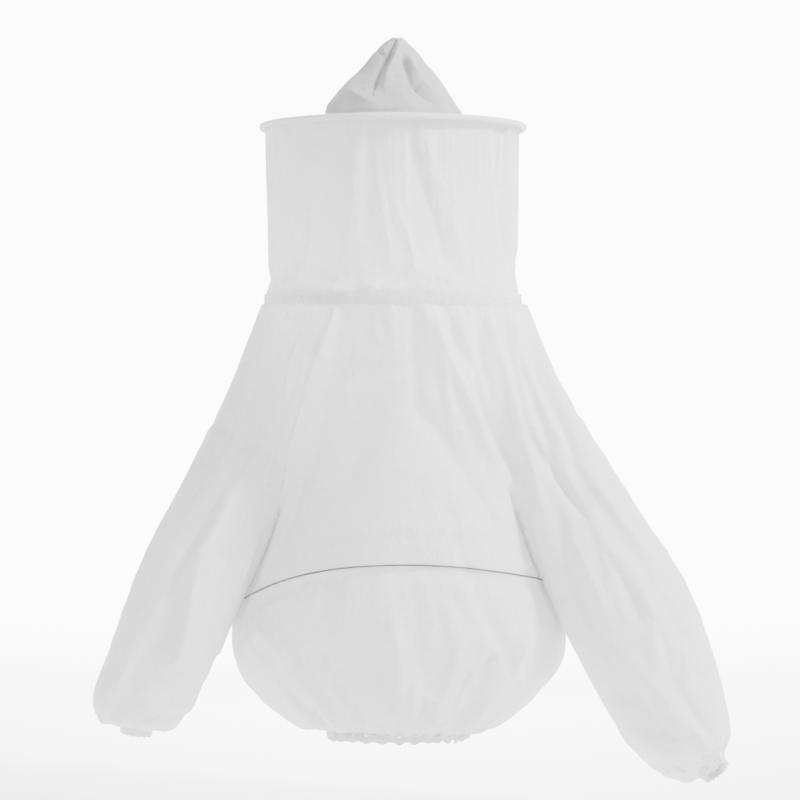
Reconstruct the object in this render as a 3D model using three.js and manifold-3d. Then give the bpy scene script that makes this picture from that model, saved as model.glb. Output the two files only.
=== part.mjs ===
// Beekeeper's pull-over smock with an attached hoop-brim hat and veil.
// Millimetres, +Z up, +Y towards the wearer's front, +X towards the wearer's right.
// The origin is the centre of the neck seam, where the veil is sewn to the jacket.
import * as THREE from "three";
import { mergeVertices } from "three/addons/utils/BufferGeometryUtils.js";
import Module from "manifold-3d";

const wasm = await Module();
wasm.setup();

// ---- Driving dimensions -------------------------------------------------------------------------
const CLOTH = 2.5; // wall of every sewn cloth panel
const GAP = 0.4; // clearance between neighbouring pieces
const HOOP_RADIUS = 185.5; // centre line of the brim hoop
const HOOP_Z = 252; // height of the hoop's plane over the neck seam
const CASING_RADIUS = 4.5; // outside of the cloth casing round the hoop
const CHANNEL_RADIUS = 3.1; // inside of the casing, which the wire and its ferrule run in
const WIRE_RADIUS = 1.7; // spring-steel hoop wire
const WIRE_GAP = 6; // between the wire's two ends, at the back of the hoop
const FERRULE_RADIUS = 2.6; // outside of the sleeve over the wire's two ends
const FERRULE_LENGTH = 26;
const VEIL_RADIUS = 181; // outside of the veil cylinder
const WINDOW_HALF_ANGLE = 60; // degrees from straight ahead to each side of the mesh window
const BINDING_ANGLE = 4.5; // degrees of arc that each window binding covers
const BAND_BOTTOM = 1; // neck casing, lower edge
const BAND_HEIGHT = 15; // neck casing
const ELASTIC = 1.3; // thickness of flat elastic
const BRIM_INNER_RADIUS = 99;
const BRIM_THICKNESS = 1.6;
const SWEATBAND_TOP = 250.8; // just under the brim
const SWEATBAND_HEIGHT = 21.8;
const SWEATBAND_INSIDE = 98;
const SWEATBAND_WALL = 1.6;
const SLIT = 0.15; // each side of the seams between the veil's panels and the window's bindings
const MESH_WALL = 1.2;
const HEM_HEIGHT = 9; // hem casing
const CUFF_HEIGHT = 8; // cuff casings
const GATHER = 3; // how far the hem and cuff casings lie inside the cloth they gather
const SHOULDER_REACH = 125; // radius of the drop shoulder, from the swing axis to the armhole seam
const ARMHOLE_GAP = 1.8; // lets the faceted sleeve head turn round the faceted drop shoulder

// Torso sections from the neck seam down to the hem: [z, centre x, half width, half depth].
const TORSO = [
  [0, 0, 181, 181],
  [-57, 3, 184, 170],
  [-125, 6, 182, 160],
  [-192, 9, 178, 152],
  [-250, 11, 178, 150],
  [-306, 10, 193, 151],
  [-363, 9, 214, 154],
  [-420, 8, 240, 158],
  [-465, 9, 246, 156],
  [-505, 7, 227, 148],
  [-548, 3, 194, 132],
  [-584, 5, 148, 106],
  [-606, 8, 96, 78],
];

// Sleeve sections down each arm: [x, y, z, half width, half depth].
const LEFT_SLEEVE = [
  [-111, 0, -36, 62, 58],
  [-149, -4, -95, 70, 66],
  [-186, -10, -164, 74, 68],
  [-225, -18, -235, 72, 66],
  [-261, -24, -313, 74, 64],
  [-297, -28, -391, 74, 62],
  [-322, -30, -455, 73, 60],
  [-344, -32, -512, 71, 58],
  [-358, -36, -556, 64, 54],
  [-363, -40, -581, 48, 44],
  [-363, -42, -596, 19, 19],
];
const RIGHT_SLEEVE = [
  [121, 0, -36, 62, 58],
  [160, -4, -95, 68, 66],
  [196, -10, -164, 75, 70],
  [238, -18, -235, 76, 68],
  [281, -24, -313, 82, 68],
  [324, -28, -391, 87, 68],
  [358, -30, -455, 88, 66],
  [379, -34, -515, 85, 62],
  [401, -40, -566, 78, 56],
  [423, -50, -612, 60, 48],
  [438, -64, -638, 38, 34],
  [446, -76, -648, 19, 19],
];
const LEFT_SWING = new THREE.Vector3(-152, 0, -114); // centre of the left drop shoulder
const RIGHT_SWING = new THREE.Vector3(152, 0, -114);

// Curved seam across the lower back: a circular arc, highest near the centre.
const SEAM_TOP_Z = -365;
const SEAM_CENTRE_X = 12;
const SEAM_RADIUS = 700;
const SEAM_PIPING = 2.2; // diameter of the piping held in that seam

// Crown sections from the brim to the peak: [z, centre x, half width, half depth].
const CROWN = [
  [254, 2, 103, 103],
  [285, -2, 90, 84],
  [306, 0, 75, 66],
  [327, 4, 57, 46],
  [349, 4, 37, 28],
  [370, 4, 20, 14],
  [381, 6, 6, 5],
];
const CROWN_HOLLOW_TOP = 372; // the peak is gathered solid over this height

// ---- Colours and finishes -------------------------------------------------------------------------
const finish = (color, roughness, metalness = 0) =>
  new THREE.MeshStandardMaterial({ color, roughness, metalness });
const cotton = finish(0xe4e4e4, 0.9);
const binding = finish(0xdcdcdc, 0.85);
const blackMesh = finish(0x17181a, 0.7);
const greyPiping = finish(0x8d8f91, 0.8);
const elasticWeb = finish(0xf2f2f0, 0.75);
const springSteel = finish(0xb9bcc0, 0.35, 1);
const brass = finish(0xb08d4a, 0.4, 1);

// ---- Solids ---------------------------------------------------------------------------------------
const toRadians = THREE.MathUtils.degToRad;

// A closed mesh through sections that each hold the same number of points. It ends in flat caps,
// or joins its last section to its first one.
function sweep(sections, loops = false) {
  const count = sections[0].length;
  const positions = sections.flat().flatMap((p) => [p.x, p.y, p.z]);
  const index = [];
  const spans = loops ? sections.length : sections.length - 1;
  for (let s = 0; s < spans; s++) {
    const here = s * count;
    const next = ((s + 1) % sections.length) * count;
    for (let k = 0; k < count; k++) {
      const l = (k + 1) % count;
      index.push(here + k, here + l, next + l, here + k, next + l, next + k);
    }
  }
  if (!loops) {
    const last = (sections.length - 1) * count;
    for (let k = 1; k < count - 1; k++) {
      index.push(0, k + 1, k, last, last + k, last + k + 1);
    }
  }
  const made = new THREE.BufferGeometry();
  made.setAttribute("position", new THREE.Float32BufferAttribute(positions, 3));
  made.setIndex(index);
  return made;
}

// A closed geometry as a manifold-3d solid, turned right side out if it was built inside out.
function solid(geometry) {
  const bare = geometry.clone();
  bare.deleteAttribute("normal");
  bare.deleteAttribute("uv");
  const merged = mergeVertices(bare, 1e-3);
  const triVerts = new Uint32Array(merged.index.array);
  const vertProperties = merged.attributes.position.array;
  const made = new wasm.Manifold(new wasm.Mesh({ numProp: 3, vertProperties, triVerts }));
  if (made.volume() > 0) return made;
  for (let i = 0; i < triVerts.length; i += 3) {
    [triVerts[i + 1], triVerts[i + 2]] = [triVerts[i + 2], triVerts[i + 1]];
  }
  return new wasm.Manifold(new wasm.Mesh({ numProp: 3, vertProperties, triVerts }));
}

function geometryOf(manifold) {
  const mesh = manifold.getMesh();
  const positions = new Float32Array(mesh.numVert * 3);
  for (let i = 0; i < mesh.numVert; i++) {
    positions.set(mesh.vertProperties.subarray(i * mesh.numProp, i * mesh.numProp + 3), i * 3);
  }
  const made = new THREE.BufferGeometry();
  made.setAttribute("position", new THREE.BufferAttribute(positions, 3));
  made.setIndex(new THREE.BufferAttribute(mesh.triVerts, 1));
  return made;
}

// An ellipse of points in the plane through centre with the two given half axes.
function ellipse(centre, halfWidth, halfDepth, side, depth, points) {
  return Array.from({ length: points }, (_, k) => {
    const angle = (2 * Math.PI * k) / points;
    return centre
      .clone()
      .addScaledVector(side, halfWidth * Math.cos(angle))
      .addScaledVector(depth, halfDepth * Math.sin(angle));
  });
}

// Smooth values between rows of a section table, as many rows as asked for.
function smoothRows(rows, steps) {
  const curves = [];
  for (let first = 0; first < rows[0].length; first += 3) {
    const points = rows.map((row) => new THREE.Vector3(row[first], row[first + 1] ?? 0, row[first + 2] ?? 0));
    curves.push(new THREE.CatmullRomCurve3(points, false, "centripetal"));
  }
  return Array.from({ length: steps + 1 }, (_, k) =>
    curves.flatMap((curve) => curve.getPoint(k / steps).toArray()).slice(0, rows[0].length),
  );
}

const X = new THREE.Vector3(1, 0, 0);
const Y = new THREE.Vector3(0, 1, 0);

// A body of level ellipses, grown by an allowance all round and by an extension at both ends.
function levelBody(rows, allowance, extension, steps, points) {
  const sections = smoothRows(rows, steps).map(([z, x, width, depth]) =>
    ellipse(new THREE.Vector3(x, 0, z), width + allowance, depth + allowance, X, Y, points),
  );
  const move = (section, dz) => section.map((p) => p.clone().setZ(p.z + dz));
  if (extension > 0) {
    const up = Math.sign(rows[0][0] - rows[rows.length - 1][0]);
    sections.unshift(move(sections[0], up * extension));
    sections.push(move(sections[sections.length - 1], -up * extension));
  }
  return solid(sweep(sections));
}

const torsoBody = (allowance, extension = 0) => levelBody(TORSO, allowance, extension, 14, 28);

// The frame of a sleeve's section: its centre, its tangent and its two half-axis directions.
function sleeveFrames(rows, steps) {
  const smooth = smoothRows(rows, steps);
  const centres = smooth.map(([x, y, z]) => new THREE.Vector3(x, y, z));
  return smooth.map(([, , , width, depth], k) => {
    const before = centres[Math.max(0, k - 1)];
    const after = centres[Math.min(steps, k + 1)];
    const tangent = after.clone().sub(before).normalize();
    const side = new THREE.Vector3().crossVectors(tangent, Y).normalize();
    const out = new THREE.Vector3().crossVectors(side, tangent).normalize();
    return { centre: centres[k], tangent, side, out, width, depth };
  });
}

const SLEEVE_STEPS = 12;
function sleeveBody(rows, allowance, extension = 0) {
  const frames = sleeveFrames(rows, SLEEVE_STEPS);
  const sections = frames.map((f) =>
    ellipse(f.centre, f.width + allowance, f.depth + allowance, f.side, f.out, 16),
  );
  if (extension > 0) {
    const end = frames[frames.length - 1];
    const past = sections[sections.length - 1].map((p) => p.clone().addScaledVector(end.tangent, extension));
    sections.push(past);
  }
  return solid(sweep(sections));
}

const ball = (centre, radius) => {
  const geometry = new THREE.SphereGeometry(radius, 24, 16);
  geometry.translate(centre.x, centre.y, centre.z);
  return solid(geometry);
};

function block(lowX, highX, lowY, highY, lowZ, highZ) {
  const geometry = new THREE.BoxGeometry(highX - lowX, highY - lowY, highZ - lowZ);
  geometry.translate((lowX + highX) / 2, (lowY + highY) / 2, (lowZ + highZ) / 2);
  return solid(geometry);
}
const FAR = 900; // further out than anything in the garment
const frontHalf = block(-FAR, FAR, GAP / 2, FAR, -FAR, FAR);
const backHalf = block(-FAR, FAR, -FAR, -GAP / 2, -FAR, FAR);

// A closed ring whose section, given as [out, up] offsets, follows a level ellipse.
function levelRing(centreX, z, halfWidth, halfDepth, section, points = 36) {
  const sections = Array.from({ length: points }, (_, k) => {
    const angle = (2 * Math.PI * k) / points;
    return section.map(
      ([out, up]) =>
        new THREE.Vector3(
          centreX + (halfWidth + out) * Math.cos(angle),
          (halfDepth + out) * Math.sin(angle),
          z + up,
        ),
    );
  });
  return solid(sweep(sections, true));
}

const rectangle = (low, high, bottom, top) => [[low, bottom], [high, bottom], [high, top], [low, top]];

// A casing that is open towards the inside and leaves room for flat elastic.
const casingSection = (height, wall, room) => [
  [0, 0],
  [wall + room, 0],
  [wall + room, height],
  [0, height],
  [0, height - wall],
  [room, height - wall],
  [room, wall],
  [0, wall],
];

// A piece of the veil cylinder between two angles from straight ahead, in degrees.
function veilSector(from, to, outside, wall, bottom, top, steps) {
  const sections = Array.from({ length: steps + 1 }, (_, k) => {
    const angle = toRadians(from + ((to - from) * k) / steps);
    return rectangle(outside - wall, outside, bottom, top).map(
      ([r, z]) => new THREE.Vector3(r * Math.sin(angle), r * Math.cos(angle), z),
    );
  });
  return solid(sweep(sections));
}

// ---- The hat ----------------------------------------------------------------------------------------
function crown(allowance, extension) {
  return levelBody(CROWN, allowance, extension, 7, 20);
}

function crownPanels() {
  const peak = block(-FAR, FAR, -FAR, FAR, CROWN_HOLLOW_TOP, FAR);
  const shell = crown(0, 0).subtract(crown(-CLOTH, CLOTH).subtract(peak));
  return [shell.intersect(backHalf), shell.intersect(frontHalf)];
}

function circle(radius, points, from = 0, to = 360) {
  return Array.from({ length: points }, (_, k) => {
    const angle = toRadians(from + ((to - from) * k) / (points - 1));
    return [radius * Math.cos(angle), radius * Math.sin(angle)];
  });
}

const HOOP_SIDES = 40; // straight steps round the hoop
const HOOP_SEAM = 28; // half the casing's open angle, where the brim cloth is sewn in
function brimCasing() {
  const outer = circle(CASING_RADIUS, 8, 180 + HOOP_SEAM, 540 - HOOP_SEAM);
  const inner = circle(CHANNEL_RADIUS, 8, 180 + HOOP_SEAM, 540 - HOOP_SEAM).reverse();
  return levelRing(0, HOOP_Z, HOOP_RADIUS, HOOP_RADIUS, [...outer, ...inner], HOOP_SIDES);
}

// A full ring of round section on the hoop's centre line, and the part of the hoop's back in a width.
const hoopRing = (radius) =>
  levelRing(0, HOOP_Z, HOOP_RADIUS, HOOP_RADIUS, circle(radius, 7).slice(0, 6), HOOP_SIDES);
const hoopBack = (width) => block(-width / 2, width / 2, -FAR, 0, -FAR, FAR);

function ferrule() {
  const tube = hoopRing(FERRULE_RADIUS).subtract(hoopRing(WIRE_RADIUS + 0.3));
  return tube.intersect(hoopBack(FERRULE_LENGTH));
}

// ---- The jacket -------------------------------------------------------------------------------------
const SLEEVES = [
  { name: "left", rows: LEFT_SLEEVE, swing: LEFT_SWING },
  { name: "right", rows: RIGHT_SLEEVE, swing: RIGHT_SWING },
];

// Everything above the curved back seam, less an allowance.
function aboveSeam(allowance) {
  const shape = new THREE.Shape();
  const half = 330; // wider than the torso
  const steps = 18;
  const drop = (x) => SEAM_RADIUS - Math.sqrt(SEAM_RADIUS ** 2 - x ** 2);
  shape.moveTo(-half, FAR);
  for (let x = -half; x <= half; x += (2 * half) / steps) {
    shape.lineTo(x, SEAM_TOP_Z - drop(x) + allowance);
  }
  shape.lineTo(half, FAR);
  const geometry = new THREE.ExtrudeGeometry(shape, { depth: 2 * FAR, bevelEnabled: false });
  geometry.rotateX(Math.PI / 2);
  geometry.translate(SEAM_CENTRE_X, FAR, 0);
  return solid(geometry);
}

function jacketShell() {
  let outside = torsoBody(0);
  let inside = torsoBody(-CLOTH, 10);
  for (const { rows, swing } of SLEEVES) {
    outside = outside.add(sleeveBody(rows, 0).intersect(ball(swing, SHOULDER_REACH)));
    inside = inside.add(sleeveBody(rows, -CLOTH).intersect(ball(swing, SHOULDER_REACH + 10)));
  }
  return outside.subtract(inside);
}

function sleeveShell({ rows, swing }) {
  const outside = sleeveBody(rows, 0).subtract(torsoBody(2));
  const inside = sleeveBody(rows, -CLOTH, 10).subtract(torsoBody(2 + CLOTH));
  return outside.subtract(inside).subtract(ball(swing, SHOULDER_REACH + ARMHOLE_GAP));
}

// The elastic end of a sleeve: a ring section swept round the sleeve's last frame.
function cuffRing(rows, section, points = 16) {
  const end = sleeveFrames(rows, SLEEVE_STEPS)[SLEEVE_STEPS];
  const sections = Array.from({ length: points }, (_, k) => {
    const angle = (2 * Math.PI * k) / points;
    return section.map(([out, along]) =>
      end.centre
        .clone()
        .addScaledVector(end.side, (end.width + out) * Math.cos(angle))
        .addScaledVector(end.out, (end.depth + out) * Math.sin(angle))
        .addScaledVector(end.tangent, along),
    );
  });
  return solid(sweep(sections, true));
}

function seamPiping() {
  const between = aboveSeam(-SEAM_PIPING / 2 + GAP).subtract(aboveSeam(SEAM_PIPING / 2 - GAP));
  return torsoBody(0.6).subtract(torsoBody(-CLOTH)).intersect(between).intersect(backHalf);
}

// ---- Assembly ---------------------------------------------------------------------------------------
const suit = new THREE.Group();
function add(name, manifold, material) {
  const mesh = new THREE.Mesh(geometryOf(manifold), material);
  mesh.name = name;
  suit.add(mesh);
}

const [crownBack, crownFront] = crownPanels();
add("crown_back_panel", crownBack, cotton);
add("crown_front_panel", crownFront, cotton);
const brimOuter = HOOP_RADIUS - CHANNEL_RADIUS;
const brimBottom = HOOP_Z - BRIM_THICKNESS / 2;
add(
  "hat_brim",
  levelRing(0, brimBottom, 0, 0, rectangle(BRIM_INNER_RADIUS, brimOuter, 0, BRIM_THICKNESS)),
  cotton,
);
add("brim_casing", brimCasing(), binding);
add("hoop_wire", hoopRing(WIRE_RADIUS).subtract(hoopBack(WIRE_GAP)), springSteel);
add("hoop_ferrule", ferrule(), brass);
const sweatband = rectangle(SWEATBAND_INSIDE, SWEATBAND_INSIDE + SWEATBAND_WALL, 0, SWEATBAND_HEIGHT);
add("hat_sweatband", levelRing(0, SWEATBAND_TOP - SWEATBAND_HEIGHT, 0, 0, sweatband), elasticWeb);

const veilTop = HOOP_Z - CASING_RADIUS - GAP;
const windowEdge = WINDOW_HALF_ANGLE + BINDING_ANGLE;
add(
  "veil_back_panel",
  veilSector(windowEdge + SLIT, 360 - windowEdge - SLIT, VEIL_RADIUS, CLOTH, GAP, veilTop, 24),
  cotton,
);
const meshOutside = VEIL_RADIUS - MESH_WALL / 2;
add(
  "veil_mesh_window",
  veilSector(-WINDOW_HALF_ANGLE, WINDOW_HALF_ANGLE, meshOutside, MESH_WALL, GAP, veilTop, 16),
  blackMesh,
);
for (const [name, side] of [["right", 1], ["left", -1]]) {
  const near = side * (WINDOW_HALF_ANGLE + SLIT);
  const far = side * windowEdge;
  const strip = veilSector(Math.min(near, far), Math.max(near, far), VEIL_RADIUS, CLOTH, GAP, veilTop, 2);
  add(`window_binding_${name}`, strip, binding);
}

const bandWall = 1.1;
const bandRoom = ELASTIC + GAP;
const bandRadius = VEIL_RADIUS + 3 * GAP;
const bandWeb = rectangle(GAP / 2, ELASTIC, 0, BAND_HEIGHT - 2 * bandWall - 2 * GAP);
add(
  "neck_casing",
  levelRing(0, BAND_BOTTOM, bandRadius, bandRadius, casingSection(BAND_HEIGHT, bandWall, bandRoom)),
  binding,
);
add(
  "neck_elastic",
  levelRing(0, BAND_BOTTOM + bandWall + GAP, bandRadius, bandRadius, bandWeb),
  elasticWeb,
);

const jacket = jacketShell();
const jacketBack = jacket.intersect(backHalf);
add("front_body_panel", jacket.intersect(frontHalf), cotton);
add("upper_back_panel", jacketBack.intersect(aboveSeam(SEAM_PIPING / 2)), cotton);
add("lower_back_panel", jacketBack.subtract(aboveSeam(-SEAM_PIPING / 2)), cotton);
add("back_seam_piping", seamPiping(), greyPiping);

const [hemZ, hemX, hemWidth, hemDepth] = TORSO[TORSO.length - 1];
const hemBottom = hemZ - GAP - HEM_HEIGHT;
const hemRing = (z, section) => levelRing(hemX, z, hemWidth - GATHER, hemDepth - GATHER, section, 28);
const hemWeb = rectangle(GAP / 2, ELASTIC, 0, HEM_HEIGHT - 2 * bandWall - 2 * GAP);
add("hem_casing", hemRing(hemBottom, casingSection(HEM_HEIGHT, bandWall, bandRoom)), cotton);
add("hem_elastic", hemRing(hemBottom + bandWall + GAP, hemWeb), elasticWeb);

for (const sleeve of SLEEVES) {
  add(`${sleeve.name}_sleeve`, sleeveShell(sleeve), cotton);
  const casing = casingSection(CUFF_HEIGHT, bandWall, bandRoom).map(([out, along]) => [
    out - GATHER,
    along + GAP,
  ]);
  add(`${sleeve.name}_cuff_casing`, cuffRing(sleeve.rows, casing), cotton);
  const web = rectangle(GAP / 2 - GATHER, ELASTIC - GATHER, bandWall + 2 * GAP, CUFF_HEIGHT - bandWall);
  add(`${sleeve.name}_cuff_elastic`, cuffRing(sleeve.rows, web), elasticWeb);
}

export default suit;
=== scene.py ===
"""A beekeeper's pull-over smock with its hoop-brim hat and veil, in white cotton."""
import math

import bmesh
import bpy
import numpy as np
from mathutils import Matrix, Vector


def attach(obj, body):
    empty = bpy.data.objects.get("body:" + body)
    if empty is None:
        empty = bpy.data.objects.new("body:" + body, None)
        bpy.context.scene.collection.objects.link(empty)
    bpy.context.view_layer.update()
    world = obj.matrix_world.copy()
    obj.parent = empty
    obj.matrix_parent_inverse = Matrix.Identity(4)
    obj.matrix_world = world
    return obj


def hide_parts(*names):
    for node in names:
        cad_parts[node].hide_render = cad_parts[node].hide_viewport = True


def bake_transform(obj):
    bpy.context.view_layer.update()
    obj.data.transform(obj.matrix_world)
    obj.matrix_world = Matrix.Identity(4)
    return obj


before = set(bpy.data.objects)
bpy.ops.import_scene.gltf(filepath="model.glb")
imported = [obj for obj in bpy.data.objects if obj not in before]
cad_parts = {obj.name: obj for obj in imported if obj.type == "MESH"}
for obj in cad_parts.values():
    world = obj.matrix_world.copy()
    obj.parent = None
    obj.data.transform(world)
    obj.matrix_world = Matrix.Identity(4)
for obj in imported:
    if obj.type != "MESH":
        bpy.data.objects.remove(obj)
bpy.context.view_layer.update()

# ---- Camera --------------------------------------------------------------------------------------
CAMERA_DISTANCE = 4.2
AIM = Vector((0.010, 0.0, -0.135))
FIELD_OF_VIEW = math.radians(15.44)
camera_data = bpy.data.cameras.new("camera")
camera_data.sensor_width = 36.0
camera_data.lens = 18.0 / math.tan(FIELD_OF_VIEW / 2)
camera = bpy.data.objects.new("camera", camera_data)
camera.location = AIM - Vector((0, CAMERA_DISTANCE, 0))
camera.rotation_euler = (math.radians(90), 0, 0)
bpy.context.scene.collection.objects.link(camera)
bpy.context.scene.camera = camera

# ---- Sizes, in metres ----------------------------------------------------------------------------
HOOP_RADIUS, HOOP_Z = 0.1855, 0.252
VEIL_RADIUS = 0.1805
NECK_RADIUS = 0.181
BAND_LOW, BAND_HIGH = 0.000, 0.016
WINDOW_HALF_ANGLE = math.radians(60)
BINDING_ANGLE = math.radians(4.5)
HEM_Z = -0.606

# Torso sections from the neck seam to the hem: height, centre x, half width, half depth.
TORSO = np.array([
    (0.000, 0.000, 0.181, 0.181), (-0.014, 0.002, 0.185, 0.180), (-0.030, 0.004, 0.189, 0.177),
    (-0.057, 0.004, 0.189, 0.172), (-0.090, 0.005, 0.186, 0.166), (-0.125, 0.006, 0.182, 0.161),
    (-0.192, 0.009, 0.180, 0.152), (-0.250, 0.011, 0.188, 0.150), (-0.306, 0.010, 0.206, 0.151),
    (-0.363, 0.009, 0.226, 0.154), (-0.420, 0.008, 0.243, 0.158), (-0.465, 0.009, 0.245, 0.156),
    (-0.505, 0.007, 0.227, 0.148), (-0.548, 0.003, 0.194, 0.132), (-0.584, 0.005, 0.148, 0.106),
    (-0.606, 0.008, 0.092, 0.074),
])
# Sleeve sections down each arm: x, y, z, half width, half depth.
LEFT_SLEEVE = np.array([
    (-0.111, 0.000, -0.036, 0.062, 0.060), (-0.149, -0.004, -0.095, 0.070, 0.068),
    (-0.186, -0.012, -0.164, 0.074, 0.070), (-0.225, -0.028, -0.235, 0.073, 0.068),
    (-0.260, -0.044, -0.313, 0.076, 0.064), (-0.296, -0.052, -0.391, 0.077, 0.062),
    (-0.322, -0.050, -0.455, 0.076, 0.060), (-0.344, -0.046, -0.512, 0.074, 0.058),
    (-0.358, -0.044, -0.550, 0.073, 0.056), (-0.358, -0.043, -0.578, 0.058, 0.048),
    (-0.361, -0.042, -0.597, 0.018, 0.018),
])
RIGHT_SLEEVE = np.array([
    (0.121, 0.000, -0.036, 0.062, 0.060), (0.160, -0.004, -0.095, 0.068, 0.068),
    (0.196, -0.012, -0.164, 0.075, 0.070), (0.238, -0.028, -0.235, 0.076, 0.069),
    (0.281, -0.044, -0.313, 0.083, 0.068), (0.322, -0.052, -0.391, 0.090, 0.068),
    (0.354, -0.052, -0.455, 0.092, 0.066), (0.379, -0.052, -0.515, 0.088, 0.062),
    (0.401, -0.054, -0.566, 0.082, 0.058), (0.423, -0.060, -0.612, 0.070, 0.052),
    (0.438, -0.068, -0.638, 0.050, 0.040), (0.446, -0.076, -0.648, 0.018, 0.018),
])
SWING = {"left": np.array((-0.152, 0.0, -0.114)), "right": np.array((0.152, 0.0, -0.114))}
SHOULDER_REACH = 0.125  # from a swing axis to its armhole seam
UNDERARM_X, UNDERARM_Z = 0.170, -0.250

# The curved seam across the lower back drops away on both sides of its top.
SEAM_TOP_Z, SEAM_CENTRE_X = -0.361, 0.016

# Crown sections from the brim to the peak: height, centre x, half width, half depth.
CROWN = np.array([
    (0.2535, 0.002, 0.1005, 0.1005), (0.270, 0.001, 0.098, 0.096), (0.285, -0.002, 0.090, 0.084),
    (0.306, 0.000, 0.075, 0.066), (0.327, 0.004, 0.057, 0.046), (0.349, 0.004, 0.037, 0.029),
    (0.370, 0.004, 0.018, 0.014), (0.380, 0.006, 0.005, 0.005),
])


# ---- Small tools ---------------------------------------------------------------------------------
def smooth_rows(rows, count, softness=0.04):
    """Rows of a section table, evenly spaced along it and smoothed, with both ends kept."""
    steps = np.linspace(0, len(rows) - 1, count)
    dense = np.stack([np.interp(steps, np.arange(len(rows)), rows[:, c]) for c in range(rows.shape[1])], 1)
    half = max(1, int(softness * count))
    kernel = np.hanning(2 * half + 3)[1:-1]
    kernel /= kernel.sum()
    head, tail = 2 * dense[0] - dense[half:0:-1], 2 * dense[-1] - dense[-2:-half - 2:-1]
    padded = np.concatenate([head, dense, tail])
    return np.stack([np.convolve(padded[:, c], kernel, "valid") for c in range(rows.shape[1])], 1)


def smoothstep(low, high, value):
    t = np.clip((value - low) / (high - low), 0, 1)
    return t * t * (3 - 2 * t)


def wave_noise(points, size, seed, octaves=3):
    """Soft, repeatable noise from -1 to 1, made of sine waves in random directions."""
    rng = np.random.default_rng(seed)
    total = np.zeros(len(points))
    for octave in range(octaves):
        for _ in range(6):
            direction = rng.normal(size=3)
            direction /= np.linalg.norm(direction)
            reach = size / 2 ** octave * rng.uniform(0.7, 1.4)
            total += np.sin(points @ direction * (2 * math.pi / reach) + rng.uniform(0, 7)) / 2 ** octave
    return total / (6 * 1.1)


def make_object(name, vertices, faces):
    mesh = bpy.data.meshes.new(name)
    mesh.from_pydata(np.asarray(vertices, float).tolist(), [], [tuple(f) for f in faces])
    mesh.update()
    mesh.shade_smooth()
    made = bpy.data.objects.new(name, mesh)
    bpy.context.scene.collection.objects.link(made)
    return made


def grid_faces(rows, columns, around=False):
    spans = columns if around else columns - 1
    r, c = np.meshgrid(np.arange(rows - 1), np.arange(spans), indexing="ij")
    r, c = r.ravel(), c.ravel()
    n = (c + 1) % columns
    return np.stack([r * columns + c, r * columns + n, (r + 1) * columns + n, (r + 1) * columns + c], 1)


def grid_object(name, points, around=False):
    """points[row, column] joined into one sheet, or into a tube when the columns go around."""
    rows, columns = points.shape[:2]
    return make_object(name, points.reshape(-1, 3), grid_faces(rows, columns, around))


def coordinates(obj):
    flat = np.zeros(len(obj.data.vertices) * 3)
    obj.data.vertices.foreach_get("co", flat)
    return flat.reshape(-1, 3)


def normals(obj):
    flat = np.zeros(len(obj.data.vertices) * 3, np.float32)
    obj.data.vertex_normals.foreach_get("vector", flat)
    return flat.reshape(-1, 3).astype(float)


def set_coordinates(obj, points):
    obj.data.vertices.foreach_set("co", np.asarray(points, np.float32).ravel())
    obj.data.update()


def apply_modifiers(obj):
    graph = bpy.context.evaluated_depsgraph_get()
    mesh = bpy.data.meshes.new_from_object(obj.evaluated_get(graph))
    obj.modifiers.clear()
    obj.data = mesh
    obj.data.shade_smooth()


def subdivide(obj, levels=1):
    modifier = obj.modifiers.new("finer", "SUBSURF")
    modifier.levels = modifier.render_levels = levels
    apply_modifiers(obj)


# ---- Solid form of the jacket, as a distance field ------------------------------------------------
def torso_distance(points):
    rows = smooth_rows(TORSO, 160)
    rows = rows[::-1]
    z = points[:, 2]
    centre = np.interp(z, rows[:, 0], rows[:, 1])
    width = np.interp(z, rows[:, 0], rows[:, 2])
    depth = np.interp(z, rows[:, 0], rows[:, 3])
    x, y = (points[:, 0] - centre) / width, points[:, 1] / depth
    fuller = np.where(points[:, 1] < 0, -0.25, 0.5)
    lens = 2 + fuller * smoothstep(-0.02, -0.2, z) * smoothstep(-0.60, -0.5, z)
    radius = (np.abs(x) ** lens + np.abs(y) ** lens) ** (1 / lens)
    body = (radius - 1) * np.minimum(width, depth)
    return np.maximum(body, np.maximum(z - 0.024, HEM_Z - 0.02 - z))


def sleeve_axis(rows):
    table = smooth_rows(rows, 90, 0.035)
    centres = table[:, :3]
    tangents = np.gradient(centres, axis=0)
    tangents /= np.linalg.norm(tangents, axis=1)[:, None]
    side = np.cross(tangents, (0, 1, 0))
    side /= np.linalg.norm(side, axis=1)[:, None]
    out = np.cross(side, tangents)
    return centres, tangents, side, out, table[:, 3], table[:, 4]


def sleeve_distance(points, rows):
    centres, tangents, side, out, width, depth = sleeve_axis(rows)
    result = np.full(len(points), 0.2)
    near = (points[:, 0] * np.sign(rows[0, 0]) > 0.03)
    chosen = np.flatnonzero(near)
    for part in np.array_split(chosen, max(1, len(chosen) // 60000)):
        p = points[part]
        square = ((p[:, None, :] - centres[None]) ** 2).sum(2)
        k = square.argmin(1)
        offset = p - centres[k]
        along = (offset * tangents[k]).sum(1)
        a = (offset * side[k]).sum(1)
        b = (offset * out[k]).sum(1)
        w, d = width[k], depth[k]
        body = (np.sqrt((a / w) ** 2 + (b / d) ** 2) - 1) * np.minimum(w, d)
        body = np.where(k == 0, np.maximum(body, -along), body)
        result[part] = np.where(k == len(centres) - 1, np.maximum(body, along - 0.015), body)
    return result


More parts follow.
